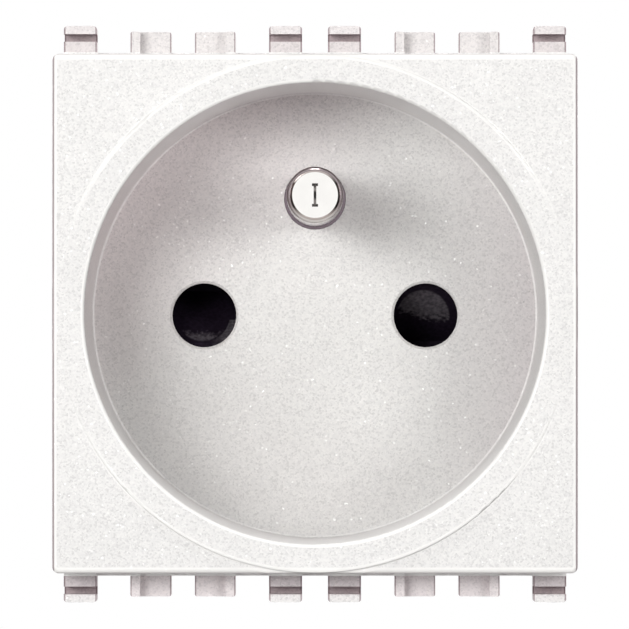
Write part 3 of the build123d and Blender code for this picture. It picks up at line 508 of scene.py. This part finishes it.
# %% [markdown]
# On the left blade, a second patch of painted light lies beside the first, at its lower right, where light
# falls through the hole. Acetal is a dull plastic with a low sheen, so the shader has little specular and a
# rough, finely uneven skin.

# %% Shutter plastic: side patch of painted light and shader
SIDE_LIGHT = (2.4 * MM, 3.4 * MM)
SIDE_LIGHT_ASIDE = (0.7 * MM, 2.0 * MM)
SIDE_LIGHT_HEIGHT = (-4 * MM, -0.5 * MM)
LEFT_BLADE = (-20 * MM, 0)
ACETAL_GLOSS = (0.6, 0.75)

beside = add(tree, "ShaderNodeSeparateXYZ", {}, {"Vector": flat}).outputs
rightward = add(tree, "ShaderNodeMapRange", {}, {
    "Value": beside["X"], "From Min": SIDE_LIGHT_ASIDE[0], "From Max": SIDE_LIGHT_ASIDE[1]}).outputs["Result"]
side_light = both(tree, rightward, band(tree, from_middle, *SIDE_LIGHT, soft=0.08 * MM),
             band(tree, beside["Z"], *SIDE_LIGHT_HEIGHT, soft=0.1 * MM),
             band(tree, across["X"], *LEFT_BLADE, soft=0.1 * MM))
tone = toned(tree, tone, side_light, painted_light, "MIX")
gloss = add(tree, "ShaderNodeMapRange", {}, {
    "Value": mottle, "To Min": ACETAL_GLOSS[0], "To Max": ACETAL_GLOSS[1]})
skin = add(tree, "ShaderNodeBump", {}, {"Strength": 0.3, "Distance": 0.03 * MM, "Height": mottle})
shader = add(tree, "ShaderNodeBsdfPrincipled", {}, {
    "Base Color": tone, "Roughness": gloss.outputs["Result"], "IOR": 1.48,
    "Specular IOR Level": 0.08, "Normal": skin.outputs["Normal"]})
tree.links.new(shader.outputs["BSDF"], output.inputs["Surface"])
print(acetal.name, len(tree.nodes), "nodes")

# %% [markdown]
# ## The nickel-plated earth pin
# The pin is turned from brass and plated with bright nickel. Its flat tip is polished almost white, and the
# shank is painted darker the deeper it goes, a painted reflection of the shaded recess, down to a dark ring
# of painted shade at its foot. A colour ramp over the depth below the tip carries this.

# %% Nickel: shank
PIN_SEAT = 6.5 * MM
SHANK_TONES = [(0.0, "#f6f4f1"), (0.03, "#f6f4f1"), (0.2, "#dcd3d6"), (0.93, "#d2c8cc"),
               (0.97, "#a79ca2"), (1.0, "#7d7178")]

pin_low, pin_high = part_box("earth_pin")
pin_axis = ((pin_low.x + pin_high.x) / 2, 0, (pin_low.z + pin_high.z) / 2)
nickel, tree, output, place = start_finish("bright_nickel_on_turned_brass")
depth = add(tree, "ShaderNodeSeparateXYZ", {}, {"Vector": place}).outputs["Y"]
below = add(tree, "ShaderNodeMapRange", {}, {"Value": depth, "From Min": pin_low.y, "From Max": PIN_SEAT})
shank_ramp = add(tree, "ShaderNodeValToRGB", {}, {"Fac": below.outputs["Result"]})
# painted reflection down the shank and painted shade at its foot
colour = stops(shank_ramp, SHANK_TONES)
print("pin axis at", [round(v / MM, 2) for v in pin_axis])

# %% [markdown]
# The small round edge of the tip gets a thin dark ring, a painted reflection of the dark recess, blackest
# at the left and right. Outside that ring the round is painted a dull grey, lighter at its lower side, also
# a painted reflection. The distance from the pin's own axis finds both, and the height above or below the
# axis tells the sides apart.

# %% Nickel: round edge of the tip
TIP_DEEP = 0.4 * MM
TIP_EDGE = (1.95 * MM, 2.1 * MM)
TIP_EDGE_TINT = "#bdb4b3"
TIP_ROUND = (2.1 * MM, 2.5 * MM)
TIP_ROUND_TINT = "#a0969a"
ROUND_FADE = (-1.9 * MM, -0.9 * MM)
LOWER_ROUND = 0.45
BLACK_HALF, BLACK_FADE = 1.0 * MM, 0.8 * MM
BLACK_TINT = "#241f1e"

centred = add(tree, "ShaderNodeVectorMath", {"operation": "SUBTRACT"}, {
    0: place, 1: pin_axis}).outputs["Vector"]
flat = add(tree, "ShaderNodeVectorMath", {"operation": "MULTIPLY"}, {
    0: centred, 1: (1, 0, 1)}).outputs["Vector"]
radius = add(tree, "ShaderNodeVectorMath", {"operation": "LENGTH"}, {0: flat}).outputs["Value"]
height = add(tree, "ShaderNodeSeparateXYZ", {}, {"Vector": centred}).outputs["Z"]
apart = add(tree, "ShaderNodeMath", {"operation": "ABSOLUTE"}, {0: height}).outputs[0]
near_tip = band(tree, depth, pin_low.y, pin_low.y + TIP_DEEP, soft=0.3 * MM)
tip_edge = both(tree, near_tip, band(tree, radius, *TIP_EDGE, soft=0.03 * MM))
# painted reflection on the round edge of the tip
colour = toned(tree, colour, tip_edge, TIP_EDGE_TINT)
upper = add(tree, "ShaderNodeMapRange", {}, {
    "Value": height, "From Min": ROUND_FADE[0], "From Max": ROUND_FADE[1], "To Min": LOWER_ROUND})
rounded = both(tree, near_tip, band(tree, radius, *TIP_ROUND, soft=0.02 * MM), upper.outputs["Result"])
colour = toned(tree, colour, rounded, TIP_ROUND_TINT)
blackest = both(tree, tip_edge, band(tree, apart, -MM, BLACK_HALF, soft=BLACK_FADE))
colour = toned(tree, colour, blackest, BLACK_TINT)
print("dark ring", round((TIP_EDGE[1] - TIP_EDGE[0]) / MM, 2), "mm wide")

# %% [markdown]
# A lathe leaves fine marks around the axis. A noise that is fine along the axis and long across it gives
# them, as small changes of roughness and a very low bump.

# %% Nickel: turning marks and shader
TURNING = (0.9, 0.06, 0.9)
NICKEL_GLOSS = (0.08, 0.2)

stretch = add(tree, "ShaderNodeMapping", {}, {"Vector": place, "Scale": [per_metre(g) for g in TURNING]})
turned = add(tree, "ShaderNodeTexNoise", {}, {
    "Vector": stretch.outputs["Vector"], "Scale": 1.0, "Detail": 3.0}).outputs["Fac"]
gloss = add(tree, "ShaderNodeMapRange", {}, {
    "Value": turned, "To Min": NICKEL_GLOSS[0], "To Max": NICKEL_GLOSS[1]})
skin = add(tree, "ShaderNodeBump", {}, {"Strength": 0.03, "Distance": 0.02 * MM, "Height": turned})
shader = add(tree, "ShaderNodeBsdfPrincipled", {}, {
    "Base Color": colour, "Metallic": 1.0, "Roughness": gloss.outputs["Result"],
    "Normal": skin.outputs["Normal"]})
tree.links.new(shader.outputs["BSDF"], output.inputs["Surface"])
print(nickel.name, len(tree.nodes), "nodes")

# %% [markdown]
# ## Four more metals
# The contacts and the strap are rolled brass strip with long streaks, the terminal blocks are sawn from
# brass bar, the springs are rolled steel, and the screws and clamp plates are steel with bright zinc. All
# of them are one recipe: a metallic shader whose colour, roughness and bump follow a noise that is
# stretched along the working direction. A table holds what differs, which is easier to read than four
# copies of the recipe: the darkest and the palest tone, the least and the most roughness, the grain along
# X, Y and Z in millimetres, and the relief.

# %% Metals
METALS = {
    "rolled_brass_strip": ("#b98d48", "#d3ab62", 0.22, 0.38, (0.12, 1.8, 1.8), 0.12),
    "sawn_brass_bar": ("#ae8443", "#c9a05a", 0.28, 0.46, (0.25, 1.2, 0.25), 0.2),
    "rolled_spring_steel": ("#84868a", "#a2a4a8", 0.24, 0.4, (1.6, 0.14, 1.6), 0.12),
    "bright_zinc_on_steel": ("#b3b7bb", "#d2d5d8", 0.2, 0.36, (0.3, 0.3, 0.3), 0.15),
}
finishes = {}
for name, (dark, light, smooth, rough, grain_mm, relief) in METALS.items():
    metal, tree, output, place = start_finish(name)
    stretch = add(tree, "ShaderNodeMapping", {}, {
        "Vector": place, "Scale": [per_metre(g) for g in grain_mm]})
    grain = add(tree, "ShaderNodeTexNoise", {}, {
        "Vector": stretch.outputs["Vector"], "Scale": 1.0, "Detail": 3.0}).outputs["Fac"]
    grain_ramp = add(tree, "ShaderNodeValToRGB", {}, {"Fac": grain})
    grain_colour = stops(grain_ramp, [(0.3, dark), (0.7, light)])
    gloss = add(tree, "ShaderNodeMapRange", {}, {"Value": grain, "To Min": smooth, "To Max": rough})
    skin = add(tree, "ShaderNodeBump", {}, {"Strength": relief, "Distance": 0.02 * MM, "Height": grain})
    shader = add(tree, "ShaderNodeBsdfPrincipled", {}, {
        "Base Color": grain_colour, "Metallic": 1.0, "Roughness": gloss.outputs["Result"],
        "Normal": skin.outputs["Normal"]})
    tree.links.new(shader.outputs["BSDF"], output.inputs["Surface"])
    finishes[name] = metal
print(sorted(finishes))

# %% [markdown]
# ## Dressing the solids
# The record of the part says which material slot each solid has. One table from slot to finish is enough to
# dress all of them, and it keeps pieces of one material alike.

# %% Give each solid its finish
SLOT_FINISH = {
    "face_plastic": pearl,
    "housing_plastic": polyamide,
    "shutter_plastic": acetal,
    "nickel_plate": nickel,
    "brass_strip": finishes["rolled_brass_strip"],
    "brass_block": finishes["sawn_brass_bar"],
    "spring_steel": finishes["rolled_spring_steel"],
    "zinc_steel": finishes["bright_zinc_on_steel"],
}
for subpart in frame["record"]["subparts"]:
    solid = frame["nodes"][subpart["node"]]
    solid.data.materials.clear()
    solid.data.materials.append(SLOT_FINISH[subpart["material_slot"]])

# %% [markdown]
# ## Putting a shaped piece into the scene
# Each new piece is shaped in a bmesh, a mesh that is open for editing. One function writes it to an object,
# gives it its finish and lets it ride on a body of the CAD model, so that it moves when that body moves.
# Two more give shape: one raises a flat outline to a block, the other copies a solid and rounds its sharp
# edges.

# %% Place a piece
MERGE = 0.001 * MM
FLAT_ANGLE, SHARP_ANGLE = math.radians(1), math.radians(40)


def set_down(name, shape, finish, body="insert"):
    """Write a bmesh to a new object at the origin, with its finish and its body."""
    mesh = bpy.data.meshes.new(name)
    shape.to_mesh(mesh)
    shape.free()
    mesh.materials.append(finish)
    piece = bpy.data.objects.new(name, mesh)
    bpy.context.scene.collection.objects.link(piece)
    if body:
        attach(piece, body)
    print(name, len(mesh.polygons), "faces")
    return piece


def raise_outline(shape, points, along):
    """Draw one flat outline and extrude it, leaving a closed block."""
    base = shape.faces.new([shape.verts.new(p) for p in points])
    grown = bmesh.ops.extrude_face_region(shape, geom=[base])["geom"]
    top = [v for v in grown if isinstance(v, bmesh.types.BMVert)]
    bmesh.ops.translate(shape, verts=top, vec=along)
    bmesh.ops.recalc_face_normals(shape, faces=shape.faces)


def softened(node, radius):
    """A copy of a solid's mesh with its flat faces joined up and its sharp edges rounded."""
    shape = bmesh.new()
    shape.from_mesh(frame["nodes"][node].data)
    bmesh.ops.remove_doubles(shape, verts=shape.verts, dist=MERGE)
    bmesh.ops.dissolve_limit(shape, angle_limit=FLAT_ANGLE, verts=shape.verts, edges=shape.edges)
    sharp = [e for e in shape.edges if e.is_manifold and e.calc_face_angle() > SHARP_ANGLE]
    bmesh.ops.bevel(shape, geom=sharp, affect="EDGES", offset=radius, offset_type="OFFSET", segments=2,
                    profile=0.5, material=-1, clamp_overlap=True)
    return shape


print("piece helpers ready")

# %% [markdown]
# ## Screw heads
# Turned screws have no sharp rims, because the edge is broken before plating. The CAD screws are plain, so
# each is copied, its triangles are joined into flat faces and discs, and a bevel rounds the edges of the
# head and the slot. The copy stands in for the solid, with the same size and place.

# %% Screws with broken edges
SCREW_EDGE = 0.14 * MM
SCREWS = ("line_terminal_screw", "neutral_terminal_screw", "earth_terminal_screw", "case_screws")

zinc = finishes["bright_zinc_on_steel"]
for node in SCREWS:
    screw = set_down(node + "_plated", softened(node, SCREW_EDGE), zinc)
    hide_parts(node)

# %% [markdown]
# ## The shutter's leaf spring
# A strip of spring steel turns the shutter back. One end is fixed in the case, the other lies against the
# shutter, so when the shutter turns the strip bends. A rigid piece can't do that. The strip is cut across
# into short lengths.

# %% Leaf spring
SPRING_CUT = 0.6 * MM

strip = bmesh.new()
strip.from_mesh(frame["nodes"]["shutter_spring"].data)
bmesh.ops.remove_doubles(strip, verts=strip.verts, dist=MERGE)
spring_low, spring_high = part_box("shutter_spring")
for cut in range(1, int((spring_high.x - spring_low.x) / SPRING_CUT)):
    everything = strip.verts[:] + strip.edges[:] + strip.faces[:]
    bmesh.ops.bisect_plane(strip, geom=everything, plane_co=(spring_low.x + cut * SPRING_CUT, 0, 0),
                           plane_no=(1, 0, 0))
leaf = set_down("shutter_leaf_spring", strip, finishes["rolled_spring_steel"], body=None)
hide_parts("shutter_spring")
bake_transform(leaf)

# %% [markdown]
# ## Dark mark in the pin's tip
# A small I-shaped mark is pressed into the tip of the earth pin, and dark lacquer or dirt fills it. The
# filling is worn to a mottled grey, and only near the middle is it still black. A colour ramp over the
# distance from the middle gives that, and a noise mottles it.

# %% Tip mark: lacquer
MARK_HALF_LENGTH = 0.98 * MM
MARK_TONES = [(0.0, "#151112"), (0.22, "#1f1b1c"), (0.45, "#837e7c"), (0.7, "#837e7c"), (0.85, "#4d4848")]
DUST = 0.3
DUST_TONES = [(0.35, "#8a8685"), (0.65, "#ffffff")]
DUST_GLOSS = (0.5, 0.7)

lacquer, tree, output, place = start_finish("dark_lacquer_fill")
dust = add(tree, "ShaderNodeTexNoise", {}, {
    "Vector": place, "Scale": per_metre(DUST), "Detail": 2.0}).outputs["Fac"]
dust_ramp = add(tree, "ShaderNodeValToRGB", {}, {"Fac": dust})
upward = add(tree, "ShaderNodeSeparateXYZ", {}, {"Vector": place}).outputs["Z"]
above = add(tree, "ShaderNodeMath", {"operation": "SUBTRACT"}, {0: upward, 1: pin_axis[2]}).outputs[0]
apart = add(tree, "ShaderNodeMath", {"operation": "ABSOLUTE"}, {0: above}).outputs[0]
outer = add(tree, "ShaderNodeMapRange", {}, {"Value": apart, "From Max": MARK_HALF_LENGTH})
worn_ramp = add(tree, "ShaderNodeValToRGB", {}, {"Fac": outer.outputs["Result"]})
colour = toned(tree, stops(worn_ramp, MARK_TONES), 1.0, stops(dust_ramp, DUST_TONES))
gloss = add(tree, "ShaderNodeMapRange", {}, {
    "Value": dust, "To Min": DUST_GLOSS[0], "To Max": DUST_GLOSS[1]})
skin = add(tree, "ShaderNodeBump", {}, {"Strength": 0.2, "Distance": 0.01 * MM, "Height": dust})
shader = add(tree, "ShaderNodeBsdfPrincipled", {}, {
    "Base Color": colour, "Roughness": gloss.outputs["Result"], "Specular IOR Level": 0.2,
    "Normal": skin.outputs["Normal"]})
tree.links.new(shader.outputs["BSDF"], output.inputs["Surface"])
print(lacquer.name, len(tree.nodes), "nodes")

# %% [markdown]
# The groove is in the solid. Its filling is one outline of twelve corners, extruded, with its front just
# under the tip. Three corners of one quarter are enough, and the other nine mirror them.

# %% Tip mark: filling
MARK_HALF_BAR = 0.25 * MM
MARK_LINE = 0.22 * MM
MARK_SUNK = 0.03 * MM
MARK_DEEP = 0.2 * MM

neck = MARK_HALF_LENGTH - MARK_LINE
quarter = [(MARK_HALF_BAR, MARK_HALF_LENGTH), (MARK_HALF_BAR, neck), (MARK_LINE / 2, neck)]
right = quarter + [(x, -z) for x, z in reversed(quarter)]
outline = right + [(-x, z) for x, z in reversed(right)]
filling = bmesh.new()
raise_outline(filling, [(x, pin_low.y + MARK_SUNK, pin_axis[2] + z) for x, z in outline], (0, MARK_DEEP, 0))
set_down("tip_mark_fill", filling, lacquer)

# %% [markdown]
# ## Raised signs on the back
# Next to the wire entries the housing carries the usual signs for the person who wires it: L for line, N
# for neutral, and the earth sign of one stem and three bars. They are moulded with the housing, so they
# have its finish and stand up a tenth of a millimetre or so. The letters are text turned into a mesh and
# laid on the back wall, where right and left change sides. A capital is 0.7 of its font's size.

# %% Letters
SIGN_HEIGHT = 2.6 * MM
SIGN_RISE = 0.16 * MM
CAPITAL_SHARE = 0.7
BACK_WALL = 28.72 * MM
FACING_BACK = Matrix(((-1, 0, 0, 0), (0, 0, 1, 0), (0, 1, 0, 0), (0, 0, 0, 1)))
LETTERS = {"line_sign": ("L", 9.5 * MM, -9.0 * MM), "neutral_sign": ("N", -9.5 * MM, -9.0 * MM)}

for name, (letter, x, z) in LETTERS.items():
    text = bpy.data.curves.new(name, "FONT")
    text.body, text.size, text.extrude = letter, SIGN_HEIGHT / CAPITAL_SHARE, SIGN_RISE / 2
    text.align_x, text.align_y = "CENTER", "CENTER"
    carrier = bpy.data.objects.new(name + "_text", text)
    flat_letter = bpy.data.meshes.new_from_object(carrier)
    flat_letter.transform(Matrix.Translation((x, BACK_WALL + SIGN_RISE / 2, z)) @ FACING_BACK)
    sign = bmesh.new()
    sign.from_mesh(flat_letter)
    bmesh.ops.remove_doubles(sign, verts=sign.verts, dist=MERGE)
    bmesh.ops.recalc_face_normals(sign, faces=sign.faces)
    set_down(name, sign, polyamide)

# %% [markdown]
# The earth sign is made of outlines, each raised to a block. The first is the longest bar with the stem on
# it, and the two shorter bars hang below.

# %% Earth sign
EARTH_SIGN = (0.0, 9.2 * MM)
BAR_HALF = 0.16 * MM
LONG_BAR = 1.35 * MM
SHORT_BARS = [(-0.65 * MM, 0.85 * MM), (-1.3 * MM, 0.4 * MM)]

stem_top = SIGN_HEIGHT / 2
stem = [(-BAR_HALF, BAR_HALF), (-BAR_HALF, stem_top), (BAR_HALF, stem_top), (BAR_HALF, BAR_HALF)]
long_bar = [(LONG_BAR, BAR_HALF), (LONG_BAR, -BAR_HALF), (-LONG_BAR, -BAR_HALF), (-LONG_BAR, BAR_HALF)]
outlines = [long_bar + stem]
for drop, half in SHORT_BARS:
    top, bottom = drop + BAR_HALF, drop - BAR_HALF
    outlines.append([(half, top), (-half, top), (-half, bottom), (half, bottom)])
earth = bmesh.new()
for corners in outlines:
    base = [(EARTH_SIGN[0] + x, BACK_WALL, EARTH_SIGN[1] + z) for x, z in corners]
    raise_outline(earth, base, (0, SIGN_RISE, 0))
set_down("earth_sign", earth, polyamide)

# %% [markdown]
# ## Camera
# The picture is taken square from the front with a long lens, from a touch below the plug axis, so the
# walls of the recess show as a thin even ring. The distance and the scale on the face fix the focal length.

# %% Camera
IMAGE_SIZE = 629
SENSOR = 36.0
CAMERA_DISTANCE = 800 * MM
FACE_PIXELS_PER_MM = 11.872
VIEW_ELEVATION = -0.6
FACE_CENTRE_PIXEL = (315.0, 313.4)

face_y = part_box("front_cover")[0].y
centre_shift = [(p - IMAGE_SIZE / 2) / FACE_PIXELS_PER_MM * MM for p in FACE_CENTRE_PIXEL]
aim = Vector((-centre_shift[0], face_y, centre_shift[1]))
tilt = math.radians(VIEW_ELEVATION)
camera_data = bpy.data.cameras.new("studio_camera")
camera_data.sensor_width = SENSOR
camera_data.lens = CAMERA_DISTANCE * SENSOR * FACE_PIXELS_PER_MM / MM / IMAGE_SIZE
camera_data.clip_start = 0.05
camera = bpy.data.objects.new("studio_camera", camera_data)
camera.location = aim + CAMERA_DISTANCE * Vector((0, -math.cos(tilt), math.sin(tilt)))
camera.rotation_euler = (math.radians(90) - tilt, 0, 0)
bpy.context.scene.collection.objects.link(camera)
bpy.context.scene.camera = camera
print("lens", round(camera_data.lens, 1), "mm")

# %% [markdown]
# ## Floor and background
# A wall insert can't stand by itself, so it is shown held up, and a floor of paper lies some way under it
# to catch its shadow. The paper is pale to the camera and to mirror-like reflections, and dimmer to all
# other light, so that it doesn't flood the part from below.

# %% Floor
FLOOR_DROP = 60 * MM
FLOOR_SIZE = 1.2
FIBRE = 3.0
PAPER_TONES = [(0.3, "#f2f2f1"), (0.7, "#f6f6f5")]
DIM_PAPER = "#a2a2a2"

floor_mesh = bpy.data.meshes.new("studio_floor")
plate = bmesh.new()
bmesh.ops.create_grid(plate, x_segments=2, y_segments=2, size=FLOOR_SIZE / 2)
bmesh.ops.translate(plate, verts=plate.verts, vec=(0, 0, cad_box[0][2] - FLOOR_DROP))
plate.to_mesh(floor_mesh)
plate.free()
floor = bpy.data.objects.new("studio_floor", floor_mesh)
bpy.context.scene.collection.objects.link(floor)
paper, tree, output, place = start_finish("matt_white_paper")
fibre = add(tree, "ShaderNodeTexNoise", {}, {"Vector": place, "Scale": per_metre(FIBRE), "Detail": 4.0})
fibre_ramp = add(tree, "ShaderNodeValToRGB", {}, {"Fac": fibre.outputs["Fac"]})
pale = add(tree, "ShaderNodeBsdfDiffuse", {}, {"Color": stops(fibre_ramp, PAPER_TONES)})
dim = add(tree, "ShaderNodeBsdfDiffuse", {}, {"Color": linear(DIM_PAPER)})
rays = add(tree, "ShaderNodeLightPath").outputs
seen = add(tree, "ShaderNodeMath", {"operation": "MAXIMUM"}, {
    0: rays["Is Camera Ray"], 1: rays["Is Glossy Ray"]})
shader = add(tree, "ShaderNodeMixShader", {}, {
    "Fac": seen.outputs[0], 1: dim.outputs["BSDF"], 2: pale.outputs["BSDF"]})
tree.links.new(shader.outputs["Shader"], output.inputs["Surface"])
floor_mesh.materials.append(paper)
print("floor at", round(floor_mesh.vertices[0].co.z / MM, 1), "mm")

# %% [markdown]
# The background is plain white: the world is white to the camera, to mirror-like reflections and through
# glass. Matt surfaces only get its softer, slightly warm light, most of it from behind, so that the lamps
# shape the front.

# %% World
FRONT_LEVEL = 0.02
REAR_LEVEL = 0.4
FRONT_TO_REAR = (-0.2, 0.4)
WORLD_TINT = "#ffeef2"

world = bpy.data.worlds.new("white_studio")
bpy.context.scene.world = world
world.use_nodes = True
tree = world.node_tree
tree.nodes.clear()
rays = add(tree, "ShaderNodeLightPath").outputs
seen = add(tree, "ShaderNodeMath", {"operation": "MAXIMUM"}, {
    0: rays["Is Camera Ray"], 1: rays["Is Glossy Ray"]})
mirrored = add(tree, "ShaderNodeMath", {"operation": "MAXIMUM"}, {
    0: seen.outputs[0], 1: rays["Is Transmission Ray"]})
direction = add(tree, "ShaderNodeTexCoord").outputs["Generated"]
rearward = add(tree, "ShaderNodeSeparateXYZ", {}, {"Vector": direction}).outputs["Y"]
level = add(tree, "ShaderNodeMapRange", {"interpolation_type": "SMOOTHSTEP"}, {
    "Value": rearward, "From Min": FRONT_TO_REAR[0], "From Max": FRONT_TO_REAR[1],
    "To Min": FRONT_LEVEL, "To Max": REAR_LEVEL})
ambient = add(tree, "ShaderNodeBackground", {}, {
    "Color": linear(WORLD_TINT), "Strength": level.outputs["Result"]})
white = add(tree, "ShaderNodeBackground", {}, {"Color": linear("#ffffff"), "Strength": 1.0})
mixed = add(tree, "ShaderNodeMixShader", {}, {
    "Fac": mirrored.outputs[0], 1: ambient.outputs["Background"], 2: white.outputs["Background"]})
add(tree, "ShaderNodeOutputWorld", {}, {"Surface": mixed.outputs["Shader"]})
print("world level", FRONT_LEVEL, "in front and", REAR_LEVEL, "behind")

# %% [markdown]
# ## Studio light
# Soft round lamps stand around the camera, stronger on the left than on the right, and one hangs overhead.
# They give the recess its shade at the top and left, and let the earth pin throw a soft shadow to the lower
# right. Two lamps behind keep the rear readable. Each lamp's place is given from the face: how far it leans
# from the straight-ahead axis, and where it stands around that axis, clockwise from the top as the camera
# sees it.

# %% Lamps
LAMP_DISTANCE = 1.1
LAMP_TINT = "#fefffc"
LAMPS = {
    "left_softbox": {"lean": 24, "around": 270, "size": 0.4, "power": 1.6},
    "upper_left_softbox": {"lean": 24, "around": 300, "size": 0.4, "power": 3.6},
    "far_left_softbox": {"lean": 36, "around": 285, "size": 0.4, "power": 3.3},
    "right_softbox": {"lean": 36, "around": 78, "size": 0.4, "power": 4.2},
    "overhead_softbox": {"lean": 75, "around": 0, "size": 0.4, "power": 4.8},
    "rear_left_softbox": {"lean": 140, "around": 290, "size": 0.5, "power": 5.0},
    "rear_right_softbox": {"lean": 140, "around": 70, "size": 0.5, "power": 5.0},
}
for name, lamp in LAMPS.items():
    lean, around = math.radians(lamp["lean"]), math.radians(lamp["around"])
    place = LAMP_DISTANCE * Vector((math.sin(lean) * math.sin(around), -math.cos(lean),
                                    math.sin(lean) * math.cos(around)))
    lamp_data = bpy.data.lights.new(name, "AREA")
    lamp_data.shape = "DISK"
    lamp_data.size = lamp["size"]
    lamp_data.energy = lamp["power"]
    lamp_data.color = linear(LAMP_TINT)[:3]
    lamp_object = bpy.data.objects.new(name, lamp_data)
    lamp_object.location = place
    lamp_object.rotation_euler = (-place).to_track_quat("-Z", "Y").to_euler()
    bpy.context.scene.collection.objects.link(lamp_object)
bpy.context.scene.view_settings.view_transform = "Standard"
print("lamps:", list(LAMPS))

# %% [markdown]
# ## Sizes
# Dressing a part must not change how big it is. The box around it was measured right after loading.

# %% Sizes
import json
